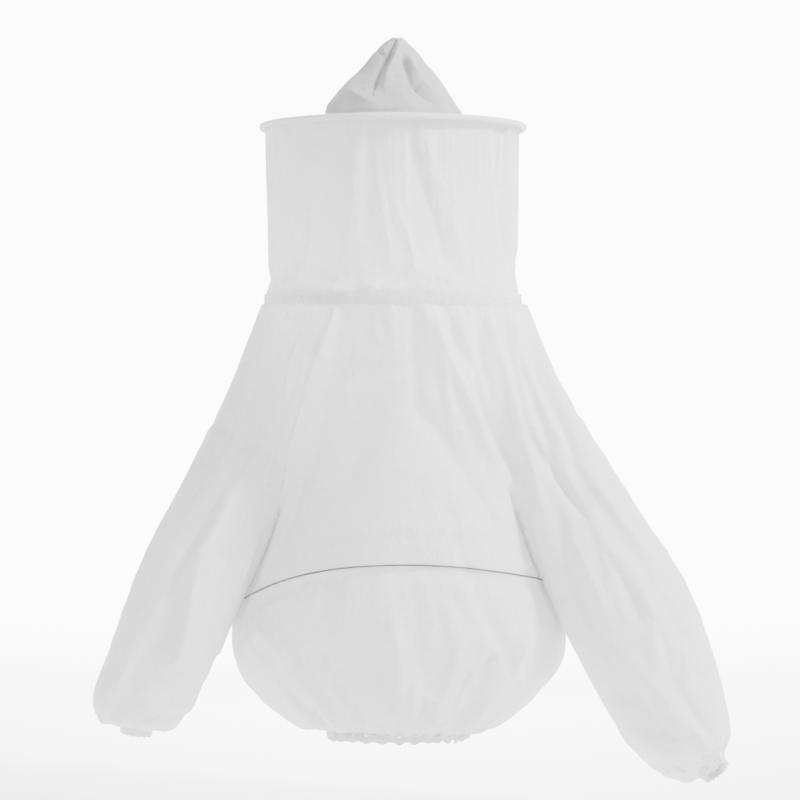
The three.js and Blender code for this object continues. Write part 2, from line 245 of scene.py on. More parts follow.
def jacket_distance(points):
    torso = torso_distance(points)
    sleeves = np.minimum(sleeve_distance(points, LEFT_SLEEVE), sleeve_distance(points, RIGHT_SLEEVE))
    z = points[:, 2]
    clear = 0.0075 - 0.13 * smoothstep(UNDERARM_Z - 0.030, UNDERARM_Z + 0.020, z)
    torso = np.maximum(torso, clear - sleeves)
    soft = 0.004 + 0.045 * smoothstep(UNDERARM_Z - 0.01, -0.12, z)
    h = np.clip(0.5 + 0.5 * (sleeves - torso) / soft, 0, 1)
    return sleeves * (1 - h) + torso * h - soft * h * (1 - h)


def surface_of(distance, low, high, pitch):
    """Vertices and outward quads of the surface where distance is zero."""
    axes = [np.arange(low[i], high[i] + pitch, pitch) for i in range(3)]
    shape = [len(a) for a in axes]
    grid = np.stack(np.meshgrid(*axes, indexing="ij"), -1).reshape(-1, 3)
    field = distance(grid).reshape(shape)
    inside = field < 0
    cells = [n - 1 for n in shape]
    total, count = np.zeros(cells + [3]), np.zeros(cells)
    corners = [(i, j, k) for i in (0, 1) for j in (0, 1) for k in (0, 1)]

    def corner(values, c):
        return values[c[0]:c[0] + cells[0], c[1]:c[1] + cells[1], c[2]:c[2] + cells[2]]

    for a in corners:
        for axis in range(3):
            if a[axis]:
                continue
            b = tuple(1 if i == axis else a[i] for i in range(3))
            fa, fb = corner(field, a), corner(field, b)
            crossed = corner(inside, a) != corner(inside, b)
            share = np.where(crossed, fa / np.where(crossed, fa - fb, 1), 0)
            for i in range(3):
                total[..., i] += np.where(crossed, a[i] + (share if i == axis else 0), 0)
            count += crossed
    active = count > 0
    number = np.full(cells, -1)
    number[active] = np.arange(active.sum())
    base = np.stack(np.nonzero(active), 1)
    points = np.array(low) + pitch * (base + total[active] / count[active][:, None])
    faces = []
    for axis in range(3):
        u, v = (axis + 1) % 3, (axis + 2) % 3
        start = [slice(None)] * 3
        start[axis] = slice(0, shape[axis] - 1)
        following = [slice(None)] * 3
        following[axis] = slice(1, shape[axis])
        here, there = inside[tuple(start)], inside[tuple(following)]
        at = np.stack(np.nonzero(here != there), 1)
        at = at[(at[:, u] > 0) & (at[:, v] > 0) & (at[:, u] < cells[u]) & (at[:, v] < cells[v])]
        quad = []
        for du, dv in ((1, 1), (0, 1), (0, 0), (1, 0)):
            cell = at.copy()
            cell[:, u] -= du
            cell[:, v] -= dv
            quad.append(number[cell[:, 0], cell[:, 1], cell[:, 2]])
        quad = np.stack(quad, 1)
        outward = here[at[:, 0], at[:, 1], at[:, 2]]
        quad[~outward] = quad[~outward][:, ::-1]
        faces.append(quad)
    return points, np.concatenate(faces)


def cut_away(obj, point, normal, keep_all=None):
    """Removes what lies beyond a plane. keep_all(co) says which vertices the cut leaves alone."""
    mesh = bmesh.new()
    mesh.from_mesh(obj.data)
    near = [v for v in mesh.verts if keep_all is None or not keep_all(v.co)]
    members = set(near)
    edges = [e for e in mesh.edges if e.verts[0] in members and e.verts[1] in members]
    faces = [f for f in mesh.faces if all(v in members for v in f.verts)]
    bmesh.ops.bisect_plane(mesh, geom=near + edges + faces, dist=1e-5, plane_co=point,
                           plane_no=normal, clear_outer=True)
    mesh.to_mesh(obj.data)
    mesh.free()
    obj.data.update()


def smooth_vertices(obj, rounds, strength=0.5):
    count = len(obj.data.vertices)
    edges = np.zeros(len(obj.data.edges) * 2, int)
    obj.data.edges.foreach_get("vertices", edges)
    edges = edges.reshape(-1, 2)
    degree = np.bincount(edges.ravel(), minlength=count)
    points = coordinates(obj)
    for _ in range(rounds):
        total = np.zeros_like(points)
        np.add.at(total, edges[:, 0], points[edges[:, 1]])
        np.add.at(total, edges[:, 1], points[edges[:, 0]])
        points += strength * (total / np.maximum(degree, 1)[:, None] - points)
    set_coordinates(obj, points)


# ---- The jacket ----------------------------------------------------------------------------------
def build_jacket():
    points, faces = surface_of(jacket_distance, (-0.46, -0.21, -0.70), (0.51, 0.21, 0.04), 0.0060)
    jacket = make_object("jacket", points, faces)
    smooth_vertices(jacket, 3)
    cut_away(jacket, (0, 0, 0.0005), (0, 0, 1))
    cut_away(jacket, (0, 0, HEM_Z - 0.001), (0, 0, -1), lambda co: abs(co.x) > 0.20)
    for rows in (LEFT_SLEEVE, RIGHT_SLEEVE):
        centres, tangents, *_ = sleeve_axis(rows)
        side = np.sign(rows[0, 0])
        cut_away(jacket, centres[-1].tolist(), tangents[-1].tolist(),
                 lambda co, c=Vector(centres[-1]): (co - c).length > 0.07)
    return jacket


jacket = build_jacket()
print("jacket", len(jacket.data.vertices))


# ---- Folds of the jacket, each a line in the x-z plane -------------------------------------------
# side (-1 back, 1 front), line of (x, z), half width, height (negative for a valley)
FOLD_DEPTH = 1.9
MAIN_FOLDS = [
    (-1, [(-0.100, -0.102), (-0.040, -0.101), (0.040, -0.102)], 0.006, 0.0024),
    (-1, [(-0.110, -0.301), (0.040, -0.303), (0.185, -0.302)], 0.006, 0.0028),
    (-1, [(-0.060, -0.225), (0.090, -0.224)], 0.006, 0.0016),
    (-1, [(0.172, -0.014), (0.179, -0.087), (0.208, -0.166), (0.233, -0.239), (0.263, -0.320)], 0.009, 0.008),
    (-1, [(0.208, -0.084), (0.252, -0.156), (0.280, -0.283)], 0.012, -0.007),
    (-1, [(-0.253, -0.349), (-0.209, -0.330), (-0.188, -0.302), (-0.174, -0.248)], 0.010, -0.007),
    (-1, [(0.238, -0.092), (0.250, -0.105), (0.259, -0.122)], 0.006, -0.004),
    (-1, [(-0.068, 0.000), (-0.118, -0.128), (-0.158, -0.249), (-0.203, -0.342), (-0.235, -0.424)], 0.011, 0.009),
    (-1, [(-0.040, -0.020), (-0.096, -0.140), (-0.138, -0.262), (-0.178, -0.352), (-0.205, -0.430)], 0.014, -0.008),
    (-1, [(-0.120, -0.010), (-0.165, -0.105), (-0.200, -0.190), (-0.232, -0.262)], 0.013, -0.007),
    (-1, [(-0.090, -0.010), (-0.142, -0.120), (-0.185, -0.218)], 0.010, -0.005),
    (-1, [(0.159, -0.010), (0.198, -0.110), (0.228, -0.215), (0.262, -0.330)], 0.012, -0.008),
    (-1, [(0.130, -0.010), (0.172, -0.120), (0.205, -0.220), (0.222, -0.300)], 0.010, 0.006),
    (-1, [(0.046, -0.010), (0.090, -0.100), (0.124, -0.178), (0.180, -0.262), (0.206, -0.305), (0.238, -0.400)], 0.010, 0.009),
    (-1, [(0.076, -0.030), (0.122, -0.120), (0.158, -0.190), (0.205, -0.262)], 0.013, -0.007),
    (-1, [(0.020, -0.120), (0.080, -0.200), (0.140, -0.290), (0.180, -0.380)], 0.016, -0.005),
    (-1, [(-0.015, -0.060), (-0.040, -0.180), (-0.080, -0.300)], 0.020, -0.004),
    (-1, [(0.195, -0.434), (0.165, -0.500), (0.110, -0.545), (0.055, -0.560), (0.015, -0.610)], 0.012, 0.009),
    (-1, [(-0.160, -0.512), (-0.120, -0.555), (-0.080, -0.592)], 0.010, -0.007),
    (-1, [(-0.075, -0.491), (-0.060, -0.540), (-0.020, -0.592)], 0.009, -0.007),
    (-1, [(-0.200, -0.440), (-0.160, -0.470), (-0.100, -0.560)], 0.012, 0.006),
    (-1, [(0.140, -0.470), (0.120, -0.520), (0.060, -0.590)], 0.010, -0.006),
    (-1, [(0.000, -0.420), (0.010, -0.500), (0.004, -0.600)], 0.014, 0.005),
    (1, [(-0.080, 0.000), (-0.120, -0.128), (-0.150, -0.249), (-0.190, -0.342)], 0.012, 0.009),
    (1, [(-0.050, -0.020), (-0.090, -0.150), (-0.120, -0.262), (-0.160, -0.370)], 0.014, -0.008),
    (1, [(0.075, 0.000), (0.122, -0.130), (0.160, -0.250), (0.205, -0.360)], 0.012, 0.009),
    (1, [(0.040, -0.030), (0.092, -0.150), (0.130, -0.280), (0.160, -0.390)], 0.015, -0.008),
    (1, [(0.000, -0.060), (0.010, -0.220), (-0.010, -0.380)], 0.018, -0.006),
    (1, [(0.140, -0.470), (0.090, -0.540), (0.030, -0.600)], 0.012, 0.007),
    (1, [(-0.130, -0.460), (-0.080, -0.540), (-0.030, -0.600)], 0.012, 0.007),
]


def line_distance(x, z, line):
    """Distance to a line and the share of its length at the nearest point."""
    line = np.array(line)
    lengths = np.linalg.norm(np.diff(line, axis=0), axis=1)
    run = np.concatenate([[0], np.cumsum(lengths)]) / lengths.sum()
    best, share = np.full(len(x), 9.0), np.zeros(len(x))
    for k, (a, b) in enumerate(zip(line[:-1], line[1:])):
        d = b - a
        t = np.clip(((x - a[0]) * d[0] + (z - a[1]) * d[1]) / (d @ d), 0, 1)
        away = np.hypot(x - a[0] - t * d[0], z - a[1] - t * d[1])
        closer = away < best
        best = np.where(closer, away, best)
        share = np.where(closer, run[k] + t * (run[k + 1] - run[k]), share)
    return best, share


def fold_height(points, outward, folds):
    total = np.zeros(len(points))
    for side, line, width, height in folds:
        away, share = line_distance(points[:, 0], points[:, 2], line)
        taper = smoothstep(-0.05, 0.12, share) * smoothstep(1.0, 0.65, share)
        facing = smoothstep(0.1, 0.6, outward[:, 1] * side)
        total += height * np.exp(-(away / width) ** 1.4) * taper * facing
    return total


def random_folds(seed):
    """Finer folds that fan out from the neck, run down the sleeves and close in on the hem."""
    rng = np.random.default_rng(seed)
    folds = []
    for side in (-1, 1):
        for x in np.linspace(-0.15, 0.15, 17):
            start = x + rng.uniform(-0.008, 0.008)
            low = -rng.uniform(0.06, 0.30)
            lean = 1 + 0.9 * -low / 0.3
            folds.append((side, [(start, 0.0), (start * (1 + lean) / 2, low / 2), (start * lean, low)],
                          rng.uniform(0.005, 0.009), rng.choice((-1, 1)) * rng.uniform(0.0015, 0.004)))
        for x in np.linspace(-0.085, 0.095, 17):
            top = rng.uniform(-0.54, -0.44)
            spread = 1 + 6.0 * (HEM_Z - top) / -0.606
            folds.append((side, [(x * spread, top), (x * (1 + spread) / 2, (top + HEM_Z) / 2), (x, HEM_Z)],
                          rng.uniform(0.005, 0.009), rng.choice((-1, 1)) * rng.uniform(0.002, 0.005)))
        for rows in (LEFT_SLEEVE, RIGHT_SLEEVE):
            for _ in range(12):
                k = rng.integers(2, len(rows) - 4)
                across = rng.uniform(-0.6, 0.6)
                a, b = rows[k], rows[k + 2]
                folds.append((side, [(a[0] + across * a[3], a[2]),
                                     (b[0] + (across + rng.uniform(-0.5, 0.5)) * b[3], b[2])],
                              rng.uniform(0.006, 0.012), rng.choice((-1, 1)) * rng.uniform(0.002, 0.005)))
    return folds


def gathers(points, centre, axis_u, axis_v, along, reach, pleats, height, seed):
    """Pleats that close in on a gathered ring: along is each point's distance from the ring."""
    offset = points - centre
    angle = np.arctan2(offset @ axis_v, offset @ axis_u)
    rng = np.random.default_rng(seed)
    wave = np.zeros(len(points))
    for k in range(4):
        wave += rng.uniform(0.5, 1) * np.cos((pleats + rng.integers(-5, 6)) * angle + rng.uniform(0, 7))
    return height * wave / 2 * smoothstep(reach, 0, along)


CLOTH_SETTINGS = dict(quality=5, mass=0.25, air_damping=4.0, tension_stiffness=18, compression_stiffness=18,
                      shear_stiffness=8, bending_stiffness=0.6, tension_damping=12, compression_damping=12,
                      shear_damping=12, bending_damping=1.0)


def simulate(obj, pin, growth, frames, pressure, gravity, most):
    """Lets the cloth crumple: it grows a little over its size while its pinned rings stay put."""
    rest = coordinates(obj)
    pinned = obj.vertex_groups.new(name="pin")
    for v, weight in enumerate(pin):
        if weight > 0.01:
            pinned.add([v], float(weight), "REPLACE")
    modifier = obj.modifiers.new("cloth", "CLOTH")
    settings = modifier.settings
    for name, value in CLOTH_SETTINGS.items():
        setattr(settings, name, value)
    settings.vertex_group_mass = "pin"
    settings.pin_stiffness = 1.0
    settings.shrink_min = -growth
    settings.use_pressure = True
    settings.uniform_pressure_force = pressure
    settings.effector_weights.gravity = gravity
    modifier.collision_settings.use_collision = False
    modifier.collision_settings.use_self_collision = False
    modifier.point_cache.frame_start, modifier.point_cache.frame_end = 1, frames
    scene = bpy.context.scene
    scene.frame_start, scene.frame_end = 1, frames
    for step in range(1, frames + 1):
        scene.frame_set(step)
    graph = bpy.context.evaluated_depsgraph_get()
    evaluated = obj.evaluated_get(graph)
    flat = np.zeros(len(evaluated.data.vertices) * 3)
    evaluated.data.vertices.foreach_get("co", flat)
    obj.modifiers.clear()
    obj.vertex_groups.clear()
    scene.frame_set(1)
    moved = flat.reshape(-1, 3) - rest
    length = np.linalg.norm(moved, axis=1)
    limit = most * np.tanh(length / most) / np.maximum(length, 1e-9)
    set_coordinates(obj, rest + moved * limit[:, None])


def seam_z(x):
    away = x - SEAM_CENTRE_X
    return SEAM_TOP_Z - np.where(away < 0, 0.68 * away ** 2 + 7.7 * away ** 4, 0.72 * away ** 2 - 0.5 * away ** 4)


def shape_jacket(obj):
    points, outward = coordinates(obj), normals(obj)
    height = FOLD_DEPTH * fold_height(points, outward, MAIN_FOLDS + random_folds(7))
    height += 0.0030 * wave_noise(points, 0.11, 3)
    for place in SWING.values():
        reach = np.linalg.norm(points - place, axis=1) - SHOULDER_REACH
        outer = smoothstep(0.06, 0.12, np.abs(points[:, 0])) * (points[:, 0] * place[0] > 0)
        height -= outer * 0.0028 * np.exp(-(reach / 0.005) ** 2)
        height += outer * 0.0012 * np.exp(-((reach - 0.012) / 0.008) ** 2)
    hem = points[:, 2] - HEM_Z
    central = np.abs(points[:, 0]) < 0.2
    height += np.where(central, gathers(points, np.array((0.008, 0, HEM_Z)), np.array((1, 0, 0)),
                                        np.array((0, 1, 0)), hem, 0.10, 26, 0.005, 11), 0)
    height *= smoothstep(0.0, -0.012, points[:, 2])
    seam = points[:, 2] - seam_z(points[:, 0])
    back = (points[:, 1] < 0) & (np.abs(points[:, 0]) < 0.25)
    height += np.where(back, 0.004 * smoothstep(0.0, -0.02, seam) * smoothstep(-0.16, -0.05, seam)
                       - 0.0035 * np.exp(-(seam / 0.006) ** 2), 0)
    pin = smoothstep(-0.010, -0.002, points[:, 2])
    pin = np.maximum(pin, np.where(central, smoothstep(0.010, 0.003, hem), 0))
    for rows, seed in ((LEFT_SLEEVE, 5), (RIGHT_SLEEVE, 6)):
        centres, tangents, side, out, *_ = sleeve_axis(rows)
        offset = points - centres[-1]
        near = np.linalg.norm(offset, axis=1) < 0.13
        along = -(offset @ tangents[-1])
        height += np.where(near, gathers(points, centres[-1], side[-1], out[-1], along, 0.05, 13, 0.003, seed), 0)
        pin = np.maximum(pin, np.where(near & (np.linalg.norm(offset, axis=1) < 0.04),
                                       smoothstep(0.008, 0.002, along), 0))
    gap = np.abs(torso_distance(points)) + 9 * (points[:, 2] > UNDERARM_Z)
    sleeve_gap = np.minimum(sleeve_distance(points, LEFT_SLEEVE), sleeve_distance(points, RIGHT_SLEEVE))
    close = smoothstep(0.03, 0.012, np.abs(sleeve_gap) + gap)
    height = height * (1 - close) + 0.0016 * close * smoothstep(UNDERARM_Z, UNDERARM_Z - 0.03, points[:, 2])
    set_coordinates(obj, points + outward * height[:, None])
    return pin


pin = shape_jacket(jacket)
simulate(jacket, pin, 0.035, 24, 0.6, 0.15, 0.014)
subdivide(jacket)


# ---- Materials -----------------------------------------------------------------------------------
def cotton(name, tint=(0.86, 0.86, 0.865), through=0.22):
    """Plain-weave cotton: fine weave, slubs, soft creases, and light that passes through."""
    material = bpy.data.materials.new(name)
    material.use_nodes = True
    nodes, links = material.node_tree.nodes, material.node_tree.links
    nodes.clear()
    output = nodes.new("ShaderNodeOutputMaterial")
    mix = nodes.new("ShaderNodeMixShader")
    mix.inputs[0].default_value = through
    surface = nodes.new("ShaderNodeBsdfPrincipled")
    surface.inputs["Roughness"].default_value = 0.88
    surface.inputs["Sheen Weight"].default_value = 0.12
    surface.inputs["Sheen Roughness"].default_value = 0.5
    surface.inputs["Specular IOR Level"].default_value = 0.25
    behind = nodes.new("ShaderNodeBsdfTranslucent")
    place = nodes.new("ShaderNodeTexCoord")

    def noise(scale, detail, roughness=0.5):
        made = nodes.new("ShaderNodeTexNoise")
        made.inputs["Scale"].default_value = scale
        made.inputs["Detail"].default_value = detail
        made.inputs["Roughness"].default_value = roughness
        links.new(place.outputs["Object"], made.inputs["Vector"])
        return made

    colour = nodes.new("ShaderNodeValToRGB")
    colour.color_ramp.elements[0].color = (*[c * 0.93 for c in tint], 1)
    colour.color_ramp.elements[1].color = (*tint, 1)
    colour.color_ramp.elements[0].position, colour.color_ramp.elements[1].position = 0.35, 0.65
    links.new(noise(160, 4, 0.7).outputs["Fac"], colour.inputs["Fac"])
    links.new(colour.outputs["Color"], surface.inputs["Base Color"])
    links.new(colour.outputs["Color"], behind.inputs["Color"])

    previous = None

    def bump(source, distance, strength):
        nonlocal previous
        made = nodes.new("ShaderNodeBump")
        made.inputs["Distance"].default_value = distance
        made.inputs["Strength"].default_value = strength
        links.new(source, made.inputs["Height"])
        if previous is not None:
            links.new(previous, made.inputs["Normal"])
        previous = made.outputs["Normal"]

    bump(noise(16, 4, 0.6).outputs["Fac"], 0.012, 0.6)
    bump(noise(70, 4, 0.6).outputs["Fac"], 0.0022, 0.6)
    for direction in ("X", "Z"):
        weave = nodes.new("ShaderNodeTexWave")
        weave.bands_direction = direction
        weave.inputs["Scale"].default_value = 320
        weave.inputs["Distortion"].default_value = 0.6
        weave.inputs["Detail"].default_value = 1
        links.new(place.outputs["Object"], weave.inputs["Vector"])
        bump(weave.outputs["Fac"], 0.00012, 0.5)
    links.new(previous, surface.inputs["Normal"])
    links.new(previous, behind.inputs["Normal"])
    links.new(surface.outputs[0], mix.inputs[1])
    links.new(behind.outputs[0], mix.inputs[2])
    links.new(mix.outputs[0], output.inputs[0])
    return material


jacket_cotton = cotton("cotton")
jacket.data.materials.append(jacket_cotton)


def plain_cloth(name, colour, roughness, scale, through=0.0):
    """Webbing, piping and thread: one colour with a fine twill bump and some soil in it."""
    material = cotton(name, colour, through)
    for node in material.node_tree.nodes:
        if node.type == "TEX_WAVE":
            node.inputs["Scale"].default_value = scale
        if node.type == "BSDF_PRINCIPLED":
            node.inputs["Roughness"].default_value = roughness
    return material


def net_material():
    """Open black net: threads with clear holes between them, laid out in metres by the UV map."""
    material = bpy.data.materials.new("black_net")
    material.use_nodes = True
    nodes, links = material.node_tree.nodes, material.node_tree.links
    surface = nodes["Principled BSDF"]
    surface.inputs["Base Color"].default_value = (0.012, 0.012, 0.013, 1)
    surface.inputs["Roughness"].default_value = 0.6
    place = nodes.new("ShaderNodeTexCoord")
    both = nodes.new("ShaderNodeMath")
    both.operation = "MAXIMUM"
    for slot, direction in enumerate(("X", "Y")):
        wave = nodes.new("ShaderNodeTexWave")
        wave.bands_direction = direction
        wave.inputs["Scale"].default_value = NET_SCALE
        wave.inputs["Distortion"].default_value = 0.15
        links.new(place.outputs["UV"], wave.inputs["Vector"])
        thread = nodes.new("ShaderNodeMath")
        thread.operation = "GREATER_THAN"
        thread.inputs[1].default_value = 0.74
        links.new(wave.outputs["Fac"], thread.inputs[0])
        links.new(thread.outputs[0], both.inputs[slot])
    links.new(both.outputs[0], surface.inputs["Alpha"])
    return material


def metal(name, colour, roughness):
    material = bpy.data.materials.new(name)
    material.use_nodes = True
    nodes, links = material.node_tree.nodes, material.node_tree.links
    surface = nodes["Principled BSDF"]
    surface.inputs["Metallic"].default_value = 1.0
    place = nodes.new("ShaderNodeTexCoord")
    scratches = nodes.new("ShaderNodeTexNoise")
    scratches.inputs["Scale"].default_value = 400
    links.new(place.outputs["Object"], scratches.inputs["Vector"])
    ramp = nodes.new("ShaderNodeValToRGB")
    ramp.color_ramp.elements[0].color = (*[c * 0.8 for c in colour], 1)
    ramp.color_ramp.elements[1].color = (*colour, 1)
    links.new(scratches.outputs["Fac"], ramp.inputs["Fac"])
    links.new(ramp.outputs["Color"], surface.inputs["Base Color"])
    surface.inputs["Roughness"].default_value = roughness
    return material


NET_SCALE = 190  # one thread every 1.65 mm
binding_cotton = cotton("binding_cotton", (0.90, 0.90, 0.905), 0.22)
# Crown and brim cloth: the white cotton painted a darker grey, which is painted shade on a white hat.
painted_shade_hat_cotton = cotton("painted_shade_hat_cotton", (0.46, 0.46, 0.465), 0.12)
veil_cotton = cotton("veil_cotton", (0.88, 0.88, 0.885), 0.34)
grey_piping = plain_cloth("grey_piping", (0.16, 0.16, 0.165), 0.8, 600)
elastic_web = plain_cloth("elastic_web", (0.80, 0.80, 0.78), 0.75, 240)
thread = plain_cloth("white_thread", (0.90, 0.90, 0.90), 0.6, 900)
black_net = net_material()
spring_steel = metal("spring_steel", (0.62, 0.63, 0.65), 0.3)
ferrule_brass = metal("ferrule_brass", (0.72, 0.55, 0.25), 0.4)
for node_name, material in (("hat_sweatband", elastic_web), ("neck_elastic", elastic_web),
                            ("hem_elastic", elastic_web), ("left_cuff_elastic", elastic_web),
                            ("right_cuff_elastic", elastic_web), ("hoop_wire", spring_steel),
                            ("hoop_ferrule", ferrule_brass)):
    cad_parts[node_name].data.materials.clear()
    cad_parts[node_name].data.materials.append(material)


# ---- Stitches ------------------------------------------------------------------------------------
def stitches(name, path, outward, pitch=0.0036, length=0.0025, radius=0.00032):
    """A row of thread stitches along a path, each a short rounded bead lying on the cloth."""
    path, outward = np.asarray(path, float), np.asarray(outward, float)
    run = np.concatenate([[0], np.cumsum(np.linalg.norm(np.diff(path, axis=0), axis=1))])
    starts = np.arange(pitch / 2, run[-1] - length, pitch)
    corners = [(0.0, 0.35), (0.2, 1.0), (0.8, 1.0), (1.0, 0.35)]
    vertices, faces = [], []
    for at in starts:
        first = len(vertices)
        for share, size in corners:
            s = at + share * length
            p = np.array([np.interp(s, run, path[:, i]) for i in range(3)])
            up = np.array([np.interp(s, run, outward[:, i]) for i in range(3)])
            ahead = np.array([np.interp(s + 1e-3, run, path[:, i]) for i in range(3)]) - p
            side = np.cross(ahead, up)
            side /= np.linalg.norm(side) + 1e-12
            up = up / (np.linalg.norm(up) + 1e-12)
            for k in range(6):
                angle = math.pi / 3 * k
                vertices.append(p + radius * size * (1.3 * math.cos(angle) * side + math.sin(angle) * up))
        for ring in range(3):
            for k in range(6):
                a, b = first + ring * 6 + k, first + ring * 6 + (k + 1) % 6
                faces.append((a, b, b + 6, a + 6))
        faces.append(tuple(first + k for k in range(5, -1, -1)))
        faces.append(tuple(first + 18 + k for k in range(6)))
    made = make_object(name, vertices, faces)
    made.data.materials.append(thread)
    return made


# ---- The veil ------------------------------------------------------------------------------------
VEIL_LOW, VEIL_HIGH = 0.004, 0.2485
VEIL_FOLDS = [
    (-1, [(-0.126, 0.245), (-0.127, 0.128), (-0.140, 0.051), (-0.141, 0.000)], 0.010, -0.0075),
    (-1, [(-0.104, 0.240), (-0.108, 0.128), (-0.120, 0.051), (-0.126, 0.000)], 0.009, 0.0050),
    (-1, [(-0.060, 0.248), (-0.074, 0.128), (-0.080, 0.051), (-0.098, 0.000)], 0.009, -0.0060),
    (-1, [(-0.046, 0.248), (-0.056, 0.128), (-0.062, 0.040)], 0.009, 0.0035),
    (-1, [(0.145, 0.240), (0.152, 0.128), (0.168, 0.067), (0.176, 0.010)], 0.007, -0.0045),
    (-1, [(0.130, 0.240), (0.138, 0.120), (0.150, 0.050)], 0.008, 0.0030),
    (-1, [(0.041, 0.230), (0.078, 0.128), (0.109, 0.020)], 0.012, 0.0040),
    (-1, [(0.020, 0.230), (0.056, 0.128), (0.085, 0.020)], 0.012, -0.0030),
    (-1, [(-0.024, 0.190), (-0.010, 0.110), (0.001, 0.030)], 0.009, 0.0028),
    (-1, [(0.019, 0.110), (0.030, 0.050), (0.046, 0.000)], 0.008, 0.0030),
]


def veil_points(from_angle, to_angle, columns, rows, radius, low, high):
    """A sector of the veil; angles run from straight back, positive towards +x."""
    angle = np.linspace(from_angle, to_angle, columns)[None, :]
    z = np.linspace(high, low, rows)[:, None]
    reach = radius + 0.0010 * smoothstep(0.02, 0.0, z) - 0.0022 * np.sin(math.pi * (z - low) / (high - low))
    return np.stack([reach * np.sin(angle), -reach * np.cos(angle), z + 0 * angle], 2)


def build_veil():
    edge = math.pi - WINDOW_HALF_ANGLE - BINDING_ANGLE * 0.5
    grid = veil_points(-edge, edge, 340, 56, VEIL_RADIUS, VEIL_LOW, VEIL_HIGH)
    veil = grid_object("veil_cloth", grid)
    points = coordinates(veil)
    outward = points * (1, 1, 0)
    outward /= np.linalg.norm(outward, axis=1)[:, None]
    angle = np.arctan2(points[:, 0], -points[:, 1])
    height = 1.7 * fold_height(points, outward, VEIL_FOLDS)
    rng = np.random.default_rng(21)
    z = points[:, 2]
    for _ in range(46):
        centre, lean = rng.uniform(-2.0, 2.0), rng.uniform(-0.25, 0.25)
        width = rng.uniform(0.014, 0.035)
        fold = np.exp(-((angle - centre - lean * (z - 0.125)) / width) ** 2)
        upper = rng.random() < 0.5
        reach = rng.uniform(0.05, 0.17)
        fade = smoothstep(VEIL_HIGH - reach, VEIL_HIGH, z) if upper else smoothstep(VEIL_LOW + reach, VEIL_LOW, z)
        height += rng.choice((-1, 1)) * rng.uniform(0.001, 0.0032) * fold * fade
    height += 0.0010 * wave_noise(points, 0.07, 8)
    ends = smoothstep(VEIL_LOW, VEIL_LOW + 0.014, z) * smoothstep(VEIL_HIGH, VEIL_HIGH - 0.010, z)
    sides = smoothstep(edge, edge - 0.08, np.abs(angle))
    height = height * (0.25 + 0.75 * ends) * sides - 0.0012
    set_coordinates(veil, points + outward * height[:, None])
    pin = np.maximum(smoothstep(VEIL_LOW + 0.012, VEIL_LOW + 0.004, z),
                     smoothstep(VEIL_HIGH - 0.010, VEIL_HIGH - 0.003, z))
    pin = np.maximum(pin, smoothstep(edge - 0.03, edge, np.abs(angle)))
    simulate(veil, pin, 0.022, 22, 0.15, 0.1, 0.007)
    subdivide(veil)
    veil.data.materials.append(veil_cotton)
    return veil


def ring_object(name, centre, axis_u, axis_v, axis_n, radius_u, radius_v, section, columns, wobble=None):
    """A closed ring. section is a loop of (out, along) offsets; wobble(angle, k) adds to them."""
    angle = np.linspace(0, 2 * math.pi, columns, endpoint=False)
    rows = []
    for k, (out, along) in enumerate(list(section) + [section[0]]):
        extra_out, extra_along = wobble(angle, k % len(section)) if wobble else (0, 0)
        u = (radius_u + out + extra_out) * np.cos(angle)
        v = (radius_v + out + extra_out) * np.sin(angle)
        n = along + extra_along + 0 * angle
        rows.append(np.array(centre) + u[:, None] * axis_u + v[:, None] * axis_v + n[:, None] * axis_n)
    made = grid_object(name, np.array(rows), around=True)
    mesh = bmesh.new()
    mesh.from_mesh(made.data)
    bmesh.ops.remove_doubles(mesh, verts=mesh.verts, dist=1e-6)
    bmesh.ops.recalc_face_normals(mesh, faces=mesh.faces)
    mesh.to_mesh(made.data)
    mesh.free()
    subdivide(made)
    return made


EX, EY, EZ = np.array((1.0, 0, 0)), np.array((0, 1.0, 0)), np.array((0, 0, 1.0))


def rounded_section(low_out, high_out, low, high, points=5):
    """A flat oval loop of (out, along) offsets."""
    loop = []
    for k in range(4 * points):
        angle = 2 * math.pi * k / (4 * points)
        c, s = math.cos(angle), math.sin(angle)
        square = lambda v: math.copysign(abs(v) ** 0.6, v)
        loop.append(((low_out + high_out) / 2 + (high_out - low_out) / 2 * square(c),
                     (low + high) / 2 + (high - low) / 2 * square(s)))
    return loop


def pleat_wobble(pleats, out, along, seed):
    """Uneven pleats round a gathered casing, deepest on its outside."""
    rng = np.random.default_rng(seed)
    waves = [(pleats + int(rng.integers(-pleats // 5 - 1, pleats // 5 + 2)), rng.uniform(0, 7),
              rng.uniform(0.4, 1)) for _ in range(4)]

    def wobble(angle, k):
        total = sum(a * np.cos(n * angle + p) for n, p, a in waves) / 2.4
        shift = sum(a * np.cos(n * angle + 2.1 * p) for n, p, a in waves) / 2.4
        return out * (0.5 + 0.5 * total), along * shift
    return wobble


veil = build_veil()

window = grid_object("net_window", veil_points(math.pi - WINDOW_HALF_ANGLE - 0.02, math.pi + WINDOW_HALF_ANGLE + 0.02,
                                               90, 26, VEIL_RADIUS - 0.0015, VEIL_LOW, VEIL_HIGH))
window_points = coordinates(window)
inward = -window_points * (1, 1, 0) / VEIL_RADIUS
sag = 0.0014 * (1 + wave_noise(window_points, 0.12, 14, 2))
set_coordinates(window, window_points + inward * sag[:, None])
uv = window.data.uv_layers.new(name="metres")
for loop in window.data.loops:
    p = window_points[loop.vertex_index]
    uv.data[loop.index].uv = (VEIL_RADIUS * math.atan2(p[0], p[1]), p[2])
window.data.materials.append(black_net)


